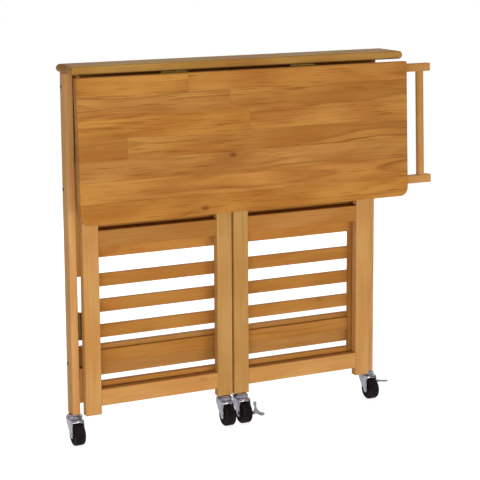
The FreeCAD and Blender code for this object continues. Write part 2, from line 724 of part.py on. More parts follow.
# flat bar in the lever's face plate, from a low point to a higher one, round at its upper end
def strap(name, low, high):
    run = "(%s - (%s))" % (high[0], low[0])
    climb = "(%s - (%s))" % (high[1], low[1])
    slope = "atan2(%s; %s)" % (climb, run)
    length = "sqrt(%s * %s + %s * %s)" % (run, run, climb, climb)
    plate_y = "-d.lever_fore - d.lever_leaf"
    bar = doc.addObject("Part::Box", name)
    bar.Placement = FreeCAD.Placement(FreeCAD.Vector(), FreeCAD.Rotation(FreeCAD.Vector(0, -1, 0), 45))
    bar.setExpression("Placement.Rotation.Angle", slope)
    bind(bar, Length=length, Width="d.lever_leaf", Height="2 * d.lever_half")
    corner_x = "%s + d.lever_half * sin(%s)" % (low[0], slope)
    corner_z = "%s - d.lever_half * cos(%s)" % (low[1], slope)
    place(bar, corner_x, plate_y, corner_z)
    tip = rod(name + "_tip", "d.lever_half", "d.lever_leaf", (high[0], plate_y, high[1]), "y")
    return [bar, tip]


# side brake: a hub on the axle's right end, an arm to the front, and a forked plate that flares outwards
def brake(number, x, y, turned):
    tag = "brake_%d" % number
    ring = rod(tag + "_ring", "d.lever_hub", "d.lever_thick", ("0", "0", "0"), "x")
    arm = slab(
        tag + "_arm",
        ("d.lever_thick", "d.lever_fore + d.lever_leaf", "2 * d.lever_half"),
        ("0", "-d.lever_fore - d.lever_leaf", "-d.lever_half"),
    )
    root = ("d.lever_half", "0")
    neck = ("d.neck_out", "d.neck_up")
    pedal_end = ("d.pedal_out", "-d.pedal_down")
    plate = []
    for name, (tip_x, tip_z) in (("_root", root), ("_pedal_end", pedal_end)):
        tip = (tip_x, "-d.lever_fore - d.lever_leaf", tip_z)
        plate.append(rod(tag + name, "d.lever_half", "d.lever_leaf", tip, "y"))
    plate += strap(tag + "_stalk", root, neck)
    plate += strap(tag + "_finger", neck, ("d.finger_out", "d.finger_up"))
    plate += strap(tag + "_pedal", pedal_end, neck)
    bore = rod(tag + "_bore", "d.axle_rad + d.pin_play", "d.lever_thick", ("0", "0", "0"), "x")
    solid = join(tag + "_solid", [ring, arm] + plate)
    lever = keep(cut(tag + "_lever", solid, bore), "brake_lever_%d" % number)
    if turned:
        turn = FreeCAD.Rotation(FreeCAD.Vector(-1, 0, 0), 80)
        lever.Placement = FreeCAD.Placement(FreeCAD.Vector(), turn)
        lever.setExpression("Placement.Rotation.Angle", "d.lever_turn")
    place(lever, "%s + at.fork_out + d.knuckle_gap" % x, "%s - d.trail" % y, "d.wheel_rad")


caster(1, mirror("left", "at.leg_x"), "at.leg_mid", False)
caster(2, mirror("left", "at.stile_x"), "at.gate_mid", False)
caster(3, mirror("right", "at.stile_x"), "at.gate_mid", True)
caster(4, mirror("right", "at.leg_x"), "at.leg_mid", True)

doc.recompute()
for item in doc.Objects:
    if "Invalid" in item.State or "Error" in item.State:
        raise RuntimeError("failed: " + item.Label)
for node in nodes:
    if node.Shape.isNull() or not node.Shape.isValid():
        raise RuntimeError("bad shape: " + node.Label)

os.makedirs("parts", exist_ok=True)
for node in nodes:
    node.Shape.exportStep("parts/%s.step" % node.Label)
print("%d nodes, %d solids" % (len(nodes), sum(len(node.Shape.Solids) for node in nodes)))
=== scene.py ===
import bpy, bmesh, math
from mathutils import Vector, Matrix


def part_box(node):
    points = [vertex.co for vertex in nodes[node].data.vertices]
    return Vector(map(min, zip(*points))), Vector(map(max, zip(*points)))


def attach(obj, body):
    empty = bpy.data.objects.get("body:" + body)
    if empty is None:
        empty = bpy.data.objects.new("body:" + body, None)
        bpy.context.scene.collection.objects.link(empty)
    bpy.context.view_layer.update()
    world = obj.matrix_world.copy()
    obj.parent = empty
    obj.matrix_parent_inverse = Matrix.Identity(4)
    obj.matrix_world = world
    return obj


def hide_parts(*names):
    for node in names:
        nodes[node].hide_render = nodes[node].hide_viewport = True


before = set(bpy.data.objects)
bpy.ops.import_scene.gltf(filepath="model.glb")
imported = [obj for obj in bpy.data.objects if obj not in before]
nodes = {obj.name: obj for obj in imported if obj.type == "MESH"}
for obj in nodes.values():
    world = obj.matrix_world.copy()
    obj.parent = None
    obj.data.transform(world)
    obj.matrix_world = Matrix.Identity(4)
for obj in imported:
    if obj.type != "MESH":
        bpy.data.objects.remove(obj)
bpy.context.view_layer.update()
scene = bpy.context.scene
scene.view_settings.view_transform = "Standard"
print("frame loaded:", len(nodes), "nodes")


def tint(code):  # web colour to linear
    parts = [int(code[i:i + 2], 16) / 255 for i in (0, 2, 4)]
    return tuple(c / 12.92 if c <= 0.04045 else ((c + 0.055) / 1.055) ** 2.4 for c in parts) + (1.0,)


# camera, fitted to the edges of the worktop, leaf, gates and legs
cameraSpec = {
    "place": (-1.63006, -3.20896, 1.17348),
    "yaw": 26.42,
    "down": 9.86,
    "roll": -0.32,
    "lens": 118.71,
    "shiftY": -0.10,
}


def aimCamera(spec):
    data = bpy.data.cameras.new("photoCamera")
    data.sensor_width = 36
    data.lens = spec["lens"]
    data.shift_y = spec["shiftY"]
    data.clip_end = 60
    cam = bpy.data.objects.new("photoCamera", data)
    scene.collection.objects.link(cam)
    yaw, down, roll = (math.radians(spec[k]) for k in ("yaw", "down", "roll"))
    ahead = Vector((math.sin(yaw) * math.cos(down), math.cos(yaw) * math.cos(down), -math.sin(down)))
    right = Vector((math.cos(yaw), -math.sin(yaw), 0))
    up = right.cross(ahead)
    right, up = right * math.cos(roll) + up * math.sin(roll), up * math.cos(roll) - right * math.sin(roll)
    cam.matrix_world = Matrix.Translation(spec["place"]) @ Matrix((right, up, -ahead)).transposed().to_4x4()
    scene.camera = cam


aimCamera(cameraSpec)

# studio: white sweep for the camera, broad low lamps from the front, weak light from above
studio = {
    "floorSize": 14, "world": 0.33, "key": 30, "fill": 14, "top": 9, "back": 36,
    "shadowShare": 0.5, "glow": 1.74,
}


def addLamp(name, place, target, size, power):
    data = bpy.data.lights.new(name, "AREA")
    data.shape, data.energy = "RECTANGLE", power
    data.size, data.size_y = size
    lamp = bpy.data.objects.new(name, data)
    lamp.visible_camera = lamp.visible_glossy = False
    lamp.location = place
    lamp.rotation_euler = (Vector(target) - Vector(place)).to_track_quat("-Z", "Y").to_euler()
    scene.collection.objects.link(lamp)


def link(tree, a, b):
    tree.links.new(a, b)


def addNode(tree, kind, values=None, **settings):
    node = tree.nodes.new(kind)
    for key, value in settings.items():
        setattr(node, key, value)
    for key, value in (values or {}).items():
        node.inputs[key].default_value = value
    return node


def seenDirectly(tree):  # camera, mirror and glass rays see the white sweep
    path = addNode(tree, "ShaderNodeLightPath")
    first = addNode(tree, "ShaderNodeMath", operation="MAXIMUM")
    both = addNode(tree, "ShaderNodeMath", operation="MAXIMUM")
    link(tree, path.outputs["Is Camera Ray"], first.inputs[0])
    link(tree, path.outputs["Is Glossy Ray"], first.inputs[1])
    link(tree, first.outputs[0], both.inputs[0])
    link(tree, path.outputs["Is Transmission Ray"], both.inputs[1])
    return both.outputs[0]


def buildStudio(spec):
    mesh = bpy.data.meshes.new("studioFloor")
    half = spec["floorSize"]
    corners = [(-half, -half, 0), (half, -half, 0), (half, half, 0), (-half, half, 0)]
    mesh.from_pydata(corners, [], [(0, 1, 2, 3)])
    floor = bpy.data.objects.new("studioFloor", mesh)
    floor.location.z = -0.0005
    scene.collection.objects.link(floor)
    mat = bpy.data.materials.new("paleFloor")
    mat.use_nodes = True
    tree = mat.node_tree
    tree.nodes.clear()
    out = addNode(tree, "ShaderNodeOutputMaterial")
    mix = addNode(tree, "ShaderNodeMixShader")
    scale = addNode(tree, "ShaderNodeMath", {1: 1 - spec["shadowShare"]}, operation="MULTIPLY")
    link(tree, seenDirectly(tree), scale.inputs[0])
    link(tree, scale.outputs[0], mix.inputs[0])
    diffuse = addNode(tree, "ShaderNodeBsdfDiffuse", {"Color": (0.86, 0.86, 0.86, 1)})
    glow = addNode(tree, "ShaderNodeEmission", {"Color": (1, 1, 1, 1), "Strength": spec["glow"]})
    link(tree, diffuse.outputs[0], mix.inputs[1])
    link(tree, glow.outputs[0], mix.inputs[2])
    link(tree, mix.outputs[0], out.inputs[0])
    mesh.materials.append(mat)

    world = bpy.data.worlds.new("studioWorld")
    scene.world = world
    world.use_nodes = True
    tree = world.node_tree
    tree.nodes.clear()
    out = addNode(tree, "ShaderNodeOutputWorld")
    mix = addNode(tree, "ShaderNodeMixShader")
    soft = addNode(tree, "ShaderNodeBackground", {"Color": (1, 1, 1, 1), "Strength": spec["world"]})
    white = addNode(tree, "ShaderNodeBackground", {"Color": (1, 1, 1, 1), "Strength": 1.0})
    link(tree, seenDirectly(tree), mix.inputs[0])
    link(tree, soft.outputs[0], mix.inputs[1])
    link(tree, white.outputs[0], mix.inputs[2])
    link(tree, mix.outputs[0], out.inputs[0])

    addLamp("keyLamp", (-1.3, -2.2, 0.22), (-0.1, 0, 0.50), (1.5, 0.36), spec["key"])
    addLamp("fillLamp", (0.9, -2.0, 0.22), (0, 0, 0.50), (1.3, 0.36), spec["fill"])
    addLamp("topLamp", (0, -0.2, 3.0), (0, 0, 0.86), (1.5, 1.5), spec["top"])
    addLamp("backLamp", (0.5, 2.6, 1.1), (0, 0, 0.45), (1.6, 1.0), spec["back"])


buildStudio(studio)
print("camera and studio set")


# pine grain shared by every board: X of the incoming vector runs along the grain
grainSpec = {"ring": 0.013, "arch": 0.055, "archLong": 2.4, "streak": 190.0, "pore": 800.0, "knotScale": 7.0}


def addMix(tree, factor, a, b):
    mix = addNode(tree, "ShaderNodeMix", data_type="RGBA")
    for socket, value in ((mix.inputs[0], factor), (mix.inputs[6], a), (mix.inputs[7], b)):
        if hasattr(value, "is_linked"):
            link(tree, value, socket)
        else:
            socket.default_value = value
    return mix.outputs[2]


def addMath(tree, operation, a, b=None):
    node = addNode(tree, "ShaderNodeMath", operation=operation)
    for socket, value in zip(node.inputs, (a, b)):
        if value is None:
            continue
        if hasattr(value, "is_linked"):
            link(tree, value, socket)
        else:
            socket.default_value = value
    return node.outputs[0]


def addRange(tree, value, low, high, toLow=0.0, toHigh=1.0):
    ends = {1: low, 2: high, 3: toLow, 4: toHigh}
    node = addNode(tree, "ShaderNodeMapRange", ends, interpolation_type="SMOOTHSTEP")
    link(tree, value, node.inputs[0])
    return node.outputs[0]


def stretch(tree, vector, scale):
    node = addNode(tree, "ShaderNodeMapping", {"Scale": scale})
    link(tree, vector, node.inputs["Vector"])
    return node.outputs[0]


def addNoise(tree, vector, scale, detail=3.0, rough=0.5):
    node = addNode(tree, "ShaderNodeTexNoise", {"Scale": scale, "Detail": detail, "Roughness": rough})
    link(tree, vector, node.inputs["Vector"])
    return node


def makeGrainGroup(spec):
    tree = bpy.data.node_groups.new("pineGrain", "ShaderNodeTree")
    face = tree.interface
    face.new_socket("Vector", in_out="INPUT", socket_type="NodeSocketVector")
    for name in ("Pale", "Mid", "Dark"):
        face.new_socket(name, in_out="INPUT", socket_type="NodeSocketColor")
    face.new_socket("Figure", in_out="INPUT", socket_type="NodeSocketFloat")
    face.new_socket("Knots", in_out="INPUT", socket_type="NodeSocketFloat")
    face.new_socket("Color", in_out="OUTPUT", socket_type="NodeSocketColor")
    face.new_socket("Gloss", in_out="OUTPUT", socket_type="NodeSocketFloat")
    face.new_socket("Height", in_out="OUTPUT", socket_type="NodeSocketFloat")
    source = addNode(tree, "NodeGroupInput")
    vector = source.outputs["Vector"]

    # small knots: thinned out cells, stretched along the grain and running through the board
    ways = addNode(tree, "ShaderNodeSeparateXYZ")
    link(tree, vector, ways.inputs[0])
    knotPlace = addNode(tree, "ShaderNodeCombineXYZ")
    link(tree, addMath(tree, "MULTIPLY", ways.outputs[0], 0.5), knotPlace.inputs[0])
    link(tree, addMath(tree, "ADD", ways.outputs[1], ways.outputs[2]), knotPlace.inputs[1])
    cells = addNode(tree, "ShaderNodeTexVoronoi", {"Scale": spec["knotScale"]}, voronoi_dimensions="2D")
    link(tree, knotPlace.outputs[0], cells.inputs["Vector"])
    split = addNode(tree, "ShaderNodeSeparateColor")
    link(tree, cells.outputs["Color"], split.inputs[0])
    chosen = addMath(tree, "GREATER_THAN", split.outputs[0], 0.5)
    chosen = addMath(tree, "MULTIPLY", chosen, source.outputs["Knots"])
    core = addMath(tree, "MULTIPLY", addRange(tree, cells.outputs["Distance"], 0.012, 0.05, 1, 0), chosen)
    halo = addMath(tree, "MULTIPLY", addRange(tree, cells.outputs["Distance"], 0.02, 0.26, 1, 0), chosen)

    # growth rings round a pith that wanders along the board, so flat faces show long arches
    drift = addNoise(tree, stretch(tree, vector, (spec["archLong"], 5, 5)), 1.0, 1.5, 0.45).outputs["Fac"]
    waver = addNoise(tree, stretch(tree, vector, (6, 60, 60)), 1.0, 2.0, 0.5).outputs["Fac"]
    flatten = addNode(tree, "ShaderNodeVectorMath", operation="MULTIPLY")
    link(tree, vector, flatten.inputs[0])
    flatten.inputs[1].default_value = (0, 1, 1)
    reach = addNode(tree, "ShaderNodeVectorMath", operation="LENGTH")
    link(tree, flatten.outputs[0], reach.inputs[0])
    depth = addMath(tree, "ADD", reach.outputs["Value"], addMath(tree, "MULTIPLY", drift, spec["arch"]))
    depth = addMath(tree, "ADD", depth, addMath(tree, "MULTIPLY", waver, 0.0035))
    depth = addMath(tree, "ADD", depth, addMath(tree, "MULTIPLY", halo, 0.010))
    ring = addMath(tree, "FRACT", addMath(tree, "DIVIDE", depth, spec["ring"]))
    rise = addRange(tree, ring, 0.45, 0.90)
    drop = addRange(tree, ring, 0.90, 1.0, 1, 0)
    patch = addNoise(tree, stretch(tree, vector, (2.5, 14, 14)), 1.0, 2.0, 0.5).outputs["Fac"]
    late = addMath(tree, "MULTIPLY", addMath(tree, "MULTIPLY", rise, drop), source.outputs["Figure"])
    late = addMath(tree, "MULTIPLY", late, addRange(tree, patch, 0.44, 0.68, 0.1, 1.0))
    dashes = addNoise(tree, stretch(tree, vector, (11, 330, 330)), 1.0, 1.0, 0.5).outputs["Fac"]
    dashes = addMath(tree, "MULTIPLY", addRange(tree, dashes, 0.57, 0.74, 0, 0.6), source.outputs["Knots"])

    streaks = addNoise(tree, stretch(tree, vector, (0.03, 1, 1)), spec["streak"], 3.0, 0.6).outputs["Fac"]
    clouds = addNoise(tree, stretch(tree, vector, (0.3, 1, 1)), 15.0, 2.0).outputs["Fac"]
    pores = addNoise(tree, stretch(tree, vector, (0.05, 1, 1)), spec["pore"], 2.0, 0.7).outputs["Fac"]

    tone = addMix(tree, addRange(tree, clouds, 0.3, 0.7), source.outputs["Pale"], source.outputs["Mid"])
    tone = addMix(tree, addRange(tree, streaks, 0.42, 0.78, 0, 0.22), tone, source.outputs["Dark"])
    tone = addMix(tree, late, tone, source.outputs["Dark"])
    tone = addMix(tree, dashes, tone, source.outputs["Dark"])
    tone = addMix(tree, addMath(tree, "MULTIPLY", halo, 0.25), tone, source.outputs["Dark"])
    knotColor = addMix(tree, 0.45, source.outputs["Dark"], tint("3a1a08"))
    tone = addMix(tree, addMath(tree, "MULTIPLY", core, 0.7), tone, knotColor)
    tone = addMix(tree, addRange(tree, pores, 0.6, 0.8, 0, 0.10), tone, source.outputs["Dark"])
    gloss = addRange(tree, streaks, 0.3, 0.75, 0.40, 0.54)
    height = addMath(tree, "MULTIPLY", addMath(tree, "ADD", streaks, pores), 0.5)
    height = addMath(tree, "ADD", height, addMath(tree, "MULTIPLY", late, -0.6))
    sink = addNode(tree, "NodeGroupOutput")
    link(tree, tone, sink.inputs["Color"])
    link(tree, gloss, sink.inputs["Gloss"])
    link(tree, height, sink.inputs["Height"])
    return tree


grainGroup = makeGrainGroup(grainSpec)

# wood tones: pale, middle and dark of each board family
woodTones = {
    "leaf": ("bf8641", "a96d31", "7f471b"),
    "top": ("b08746", "a17236", "7c5020"),
    "gate": ("d09e60", "c68d4e", "a36832"),
    "free": ("bf9357", "b58449", "94622e"),
    "middle": ("b98246", "ae7436", "8c5320"),
    "shelf": ("bc8340", "b07434", "8c521d"),
    "back": ("bd894b", "b27b3f", "8d5725"),
    # leg tones are a little paler than the wood alone: painted light that makes up for the leaf's shadow
    # falling on the upper legs
    "leg": ("d5a267", "ca9256", "a86c36"),
    "towel": ("c79456", "bc8549", "9a6a34"),
}


def startMaterial(name):
    mat = bpy.data.materials.new(name)
    mat.use_nodes = True
    tree = mat.node_tree
    tree.nodes.clear()
    out = addNode(tree, "ShaderNodeOutputMaterial")
    shader = addNode(tree, "ShaderNodeBsdfPrincipled")
    link(tree, shader.outputs[0], out.inputs[0])
    return mat, tree, shader


def addGrain(tree, shader, vector, tones, figure, knots, bump=0.12):
    grain = addNode(tree, "ShaderNodeGroup", node_tree=grainGroup)
    link(tree, vector, grain.inputs["Vector"])
    for name, code in zip(("Pale", "Mid", "Dark"), tones):
        grain.inputs[name].default_value = tint(code)
    grain.inputs["Figure"].default_value = figure
    grain.inputs["Knots"].default_value = knots
    link(tree, grain.outputs["Gloss"], shader.inputs["Roughness"])
    relief = addNode(tree, "ShaderNodeBump", {"Strength": bump, "Distance": 0.0006})
    link(tree, grain.outputs["Height"], relief.inputs["Height"])
    link(tree, relief.outputs[0], shader.inputs["Normal"])
    shader.inputs["Specular IOR Level"].default_value = 0.03
    return grain


def setMaterial(obj, mat):
    if obj.material_slots:
        for slot in obj.material_slots:
            slot.material = mat
    else:
        obj.data.materials.append(mat)


def spread(seed, step):  # fixed scatter between 0 and 1 for a board's own cut of wood
    return (seed * step) % 1.0


def boardWood(name, family, axis, seed, figure=0.36, knots=0.35):
    low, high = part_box(name)
    middle = (Vector(low) + Vector(high)) / 2
    turn = {"x": (0, 0, 0), "z": (0, math.pi / 2, 0)}[axis]
    along = Matrix.Rotation(math.pi / 2, 4, "Y") if axis == "z" else Matrix()
    pith = Vector((9 * spread(seed, 0.618), 0.05 * spread(seed, 0.377), 0.05 * spread(seed, 0.831)))
    pith += Vector((0, 0.02, -0.025))
    mat, tree, shader = startMaterial(name + "Wood")
    place = addNode(tree, "ShaderNodeTexCoord")
    fit = addNode(tree, "ShaderNodeMapping", {"Rotation": turn, "Location": pith - along @ middle})
    link(tree, place.outputs["Object"], fit.inputs["Vector"])
    grain = addGrain(tree, shader, fit.outputs[0], woodTones[family], figure, knots)
    shade = addNode(tree, "ShaderNodeHueSaturation", {"Value": 0.94 + 0.12 * spread(seed, 0.271)})
    link(tree, grain.outputs["Color"], shade.inputs["Color"])
    link(tree, shade.outputs[0], shader.inputs["Base Color"])
    return mat


boards = [  # node name ending, family, grain axis
    ("outer_stile", "gate", "z"), ("free_stile", "free", "z"), ("gate_low_rail", "gate", "x"),
    ("gate_mid_rail", "middle", "x"),
    ("gate_top_rail", "gate", "x"), ("cleats", "gate", "x"), ("side", "shelf", "z"),
    ("shelf_front_rail", "shelf", "x"), ("shelf_rear_rail", "shelf", "x"), ("slats", "shelf", "x"),
    ("apron", "back", "x"), ("back_rail_upper", "back", "x"), ("back_rail_lower", "back", "x"),
    ("leg_left", "leg", "z"), ("leg_right", "leg", "z"), ("block_left", "back", "z"),
    ("block_right", "back", "z"), ("towel_arm_upper", "towel", "x"), ("towel_arm_lower", "towel", "x"),
    ("towel_dowel", "towel", "z"),
]
for seed, name in enumerate(sorted(nodes), 3):
    for ending, family, axis in boards:
        if name.endswith(ending):
            setMaterial(nodes[name], boardWood(name, family, axis, seed))
            break
print("boards finished")

# glued-up panels: staves in rows, each row broken into lengths, all cut from different boards
leafStaves = {"height": 0.0465, "length": 1.15, "tilt": 2.3, "first": 0.004, "pith": 0.027}
topStaves = {"height": 0.0485, "length": 0.52, "tilt": 0.0, "first": 0.0, "pith": 0.008}
leafPin = {"place": (0, -0.031537, 0.8378), "tilt": leafStaves["tilt"], "knuckle": 0.0032, "wide": 0.022}


def panelWood(name, family, pin, spec, across, figure, knots):
    mat, tree, shader = startMaterial(name + "Wood")
    place = addNode(tree, "ShaderNodeTexCoord")
    tilt = math.radians(spec["tilt"])
    back = Matrix.Rotation(tilt, 4, "X") @ Vector(pin)
    fit = addNode(tree, "ShaderNodeMapping", {"Rotation": (tilt, 0, 0), "Location": -back})
    link(tree, place.outputs["Object"], fit.inputs["Vector"])
    parts = addNode(tree, "ShaderNodeSeparateXYZ")
    link(tree, fit.outputs[0], parts.inputs[0])
    row = addMath(tree, "SUBTRACT", parts.outputs[across], spec["first"])
    row = addMath(tree, "DIVIDE", row, spec["height"])
    rowNumber = addMath(tree, "FLOOR", row)
    rowNoise = addNode(tree, "ShaderNodeTexWhiteNoise", noise_dimensions="1D")
    link(tree, rowNumber, rowNoise.inputs["W"])
    run = addMath(tree, "DIVIDE", parts.outputs[0], spec["length"])
    run = addMath(tree, "ADD", run, rowNoise.outputs["Value"])
    piece = addMath(tree, "ADD", addMath(tree, "MULTIPLY", rowNumber, 17.3), addMath(tree, "FLOOR", run))
    own = addNode(tree, "ShaderNodeTexWhiteNoise", noise_dimensions="1D")
    link(tree, piece, own.inputs["W"])
    ownParts = addNode(tree, "ShaderNodeSeparateColor")
    link(tree, own.outputs["Color"], ownParts.inputs[0])
    offset = addNode(tree, "ShaderNodeVectorMath", operation="MULTIPLY_ADD")
    link(tree, own.outputs["Color"], offset.inputs[0])
    offset.inputs[1].default_value = (7.0, 0.03, 0.03)
    link(tree, fit.outputs[0], offset.inputs[2])
    # bring each row back to its own middle with the pith close behind, so arches sit within the stave
    fold = addNode(tree, "ShaderNodeCombineXYZ", {3 - across: spec["pith"]})
    middle = addMath(tree, "MULTIPLY", rowNumber, -spec["height"])
    middle = addMath(tree, "SUBTRACT", middle, spec["first"] + spec["height"] / 2 + 0.015)
    link(tree, middle, fold.inputs[across])
    cut = addNode(tree, "ShaderNodeVectorMath", operation="ADD")
    link(tree, offset.outputs[0], cut.inputs[0])
    link(tree, fold.outputs[0], cut.inputs[1])
    grain = addGrain(tree, shader, cut.outputs[0], woodTones[family], figure, knots)
    shade = addNode(tree, "ShaderNodeHueSaturation")
    link(tree, addRange(tree, ownParts.outputs[0], 0, 1, 0.94, 1.05), shade.inputs["Value"])
    link(tree, addRange(tree, ownParts.outputs[1], 0, 1, 0.985, 1.01), shade.inputs["Saturation"])
    link(tree, grain.outputs["Color"], shade.inputs["Color"])
    # glue lines
    edge = addMath(tree, "ABSOLUTE", addMath(tree, "SUBTRACT", addMath(tree, "FRACT", row), 0.5))
    butt = addMath(tree, "ABSOLUTE", addMath(tree, "SUBTRACT", addMath(tree, "FRACT", run), 0.5))
    line = addMath(tree, "MAXIMUM", addRange(tree, edge, 0.486, 0.5), addRange(tree, butt, 0.4985, 0.5))
    tone = addMix(tree, addMath(tree, "MULTIPLY", line, 0.16), shade.outputs[0], tint("6b3d16"))
    link(tree, tone, shader.inputs["Base Color"])
    return mat


setMaterial(nodes["leaf"], panelWood("leaf", "leaf", leafPin["place"], leafStaves, 2, 0.64, 1.0))
setMaterial(nodes["worktop"], panelWood("worktop", "top", (0, 0, 0.86), topStaves, 1, 0.40, 0.4))
print("panels finished")


# metals, wheel and lever finishes
def metalFinish(name, code, dark, rough, scale, stretchBy=(1, 1, 1)):
    mat, tree, shader = startMaterial(name)
    place = addNode(tree, "ShaderNodeTexCoord")
    vector = stretch(tree, place.outputs["Object"], stretchBy)
    haze = addNoise(tree, vector, scale, 4.0, 0.6).outputs["Fac"]
    fine = addNoise(tree, vector, scale * 6, 2.0, 0.6).outputs["Fac"]
    tone = addMix(tree, addRange(tree, haze, 0.35, 0.75), tint(code), tint(dark))
    link(tree, tone, shader.inputs["Base Color"])
    link(tree, addRange(tree, fine, 0.3, 0.7, rough * 0.75, rough * 1.3), shader.inputs["Roughness"])
    relief = addNode(tree, "ShaderNodeBump", {"Strength": 0.08, "Distance": 0.0003})
    link(tree, fine, relief.inputs["Height"])
    link(tree, relief.outputs[0], shader.inputs["Normal"])
    shader.inputs["Metallic"].default_value = 1.0
    return mat


def mouldedFinish(name, code, dark, rough, scale, shine):
    mat, tree, shader = startMaterial(name)
    place = addNode(tree, "ShaderNodeTexCoord")
    haze = addNoise(tree, place.outputs["Object"], scale, 4.0, 0.6).outputs["Fac"]
    fine = addNoise(tree, place.outputs["Object"], scale * 12, 2.0, 0.6).outputs["Fac"]
    tone = addMix(tree, addRange(tree, haze, 0.3, 0.75), tint(code), tint(dark))
    link(tree, tone, shader.inputs["Base Color"])
    link(tree, addRange(tree, haze, 0.3, 0.7, rough * 0.8, rough * 1.2), shader.inputs["Roughness"])
    relief = addNode(tree, "ShaderNodeBump", {"Strength": 0.15, "Distance": 0.0004})
    link(tree, fine, relief.inputs["Height"])
    link(tree, relief.outputs[0], shader.inputs["Normal"])
    shader.inputs["Specular IOR Level"].default_value = shine
    return mat


zincPlate = metalFinish("zincPlate", "a09da6", "7c7983", 0.30, 90)
dullBrass = metalFinish("dullBrass", "806a38", "645026", 0.55, 140)
darkSteel = metalFinish("darkSteel", "4a4744", "2e2c2a", 0.45, 160)
screwSteel = metalFinish("screwSteel", "b3a57c", "8d8163", 0.34, 200)
wheelBlack = mouldedFinish("wheelBlack", "221a1a", "171112", 0.7, 60, 0.08)
leverGrey = mouldedFinish("leverGrey", "8a8b8c", "6c6d6e", 0.5, 80, 0.4)
for name, obj in nodes.items():
    if "hinges" in name:
        setMaterial(obj, dullBrass)
    elif name.startswith("frame_bolts") or name.endswith("pivot_pins"):
        setMaterial(obj, darkSteel)
    elif name.startswith(("fork", "axle")):
        setMaterial(obj, zincPlate)
    elif name.startswith("wheel"):
        setMaterial(obj, wheelBlack)
    elif name.startswith("brake"):
        setMaterial(obj, leverGrey)
print("metal and moulded finishes set")


# new pieces: mesh helpers
def keepPiece(name, mesh, finish, body, stands=()):
    obj = bpy.data.objects.new(name, mesh)
    scene.collection.objects.link(obj)
    if finish and not mesh.materials:
        mesh.materials.append(finish)
    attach(obj, body)
    if stands:
        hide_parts(*stands)
    return obj


def closeMesh(name, form):
    bmesh.ops.remove_doubles(form, verts=form.verts, dist=1e-6)
    bmesh.ops.recalc_face_normals(form, faces=form.faces)
    for face in form.faces:
        face.smooth = True
    mesh = bpy.data.meshes.new(name)
    form.to_mesh(mesh)
    form.free()
    mesh.set_sharp_from_angle(angle=math.radians(38))
    return mesh


def turnProfile(form, profile, centre, axis, steps):  # profile: (radius, distance along the axis)
    rings = []
    for radius, along in profile:
        ring = []
        for i in range(steps if radius > 1e-6 else 1):
            a = 2 * math.pi * i / steps
            c, d = radius * math.cos(a), radius * math.sin(a)
            spot = (c, d, along) if axis == "z" else (along, c, d)
            ring.append(form.verts.new(Vector(centre) + Vector(spot)))
        rings.append(ring)
    for one, two in zip(rings, rings[1:]):
        for i in range(steps):
            quad = [one[i % len(one)], one[(i + 1) % len(one)], two[(i + 1) % len(two)], two[i % len(two)]]
            corners = list(dict.fromkeys(quad))
            if len(corners) > 2:
                form.faces.new(corners)


def addPrism(form, outline, low, high, place):  # outline in two axes, pushed from low to high on the third
    bottom = [form.verts.new(place(u, v, low)) for u, v in outline]
    top = [form.verts.new(place(u, v, high)) for u, v in outline]
    form.faces.new(bottom)
    form.faces.new(top)
    for i in range(len(outline)):
        j = (i + 1) % len(outline)
        form.faces.new((bottom[i], bottom[j], top[j], top[i]))


def softEdges(obj, width, parts=2):
    bevel = obj.modifiers.new("softEdges", "BEVEL")
    bevel.width, bevel.segments = width, parts
    bevel.limit_method, bevel.angle_limit = "ANGLE", math.radians(35)


def capsule(a, ra, b, rb, steps=14):  # outline round two circles, fat end to thin end
    (ax, ay), (bx, by) = a, b
    heading = math.atan2(by - ay, bx - ax)
    lean = math.acos(max(-1, min(1, (ra - rb) / math.hypot(bx - ax, by - ay))))
    points = []
    for i in range(steps + 1):
        t = heading + lean + (2 * math.pi - 2 * lean) * i / steps
        points.append((ax + ra * math.cos(t), ay + ra * math.sin(t)))
    for i in range(steps + 1):
        t = heading - lean + 2 * lean * i / steps
        points.append((bx + rb * math.cos(t), by + rb * math.sin(t)))
    return points


# casters: swivel cap, folded fork, axle with nut, moulded wheel
casterSpec = {
    "trail": 0.020, "capRadius": 0.019, "wheelRadius": 0.025, "forkHalf": 0.015, "crownTop": 0.0586,
    "sheet": 0.002, "bend": 0.0025, "crownFront": -0.0235, "crownBack": 0.0155, "boss": 0.008,
    "shoulder": 0.011, "webPlace": 0.0065, "webThick": 0.0015, "webDown": 0.044,
}
capProfile = [
    (0, 0.1062), (0.0048, 0.1062), (0.00545, 0.1055), (0.00545, 0.0685), (0.0136, 0.0685),
    (0.0147, 0.0681), (0.0150, 0.0674), (0.0150, 0.0665), (0.0146, 0.0660), (0.0160, 0.0655),
    (0.0174, 0.0645), (0.0183, 0.0632), (0.0185, 0.0622), (0.0181, 0.0617), (0.0187, 0.0612),
    (0.0190, 0.0603), (0.0190, 0.0592), (0.0186, 0.0588), (0, 0.0588),
]
wheelHalf = [
    (0.00408, 0.0124), (0.0078, 0.0124), (0.0087, 0.0119), (0.0090, 0.0102), (0.0100, 0.0094),
    (0.0160, 0.0094), (0.0172, 0.0100), (0.0178, 0.0114), (0.0188, 0.0119), (0.0212, 0.0119),
    (0.0229, 0.0114), (0.0241, 0.0103), (0.0248, 0.0088), (0.0250, 0.0068), (0.0250, 0.0),
]


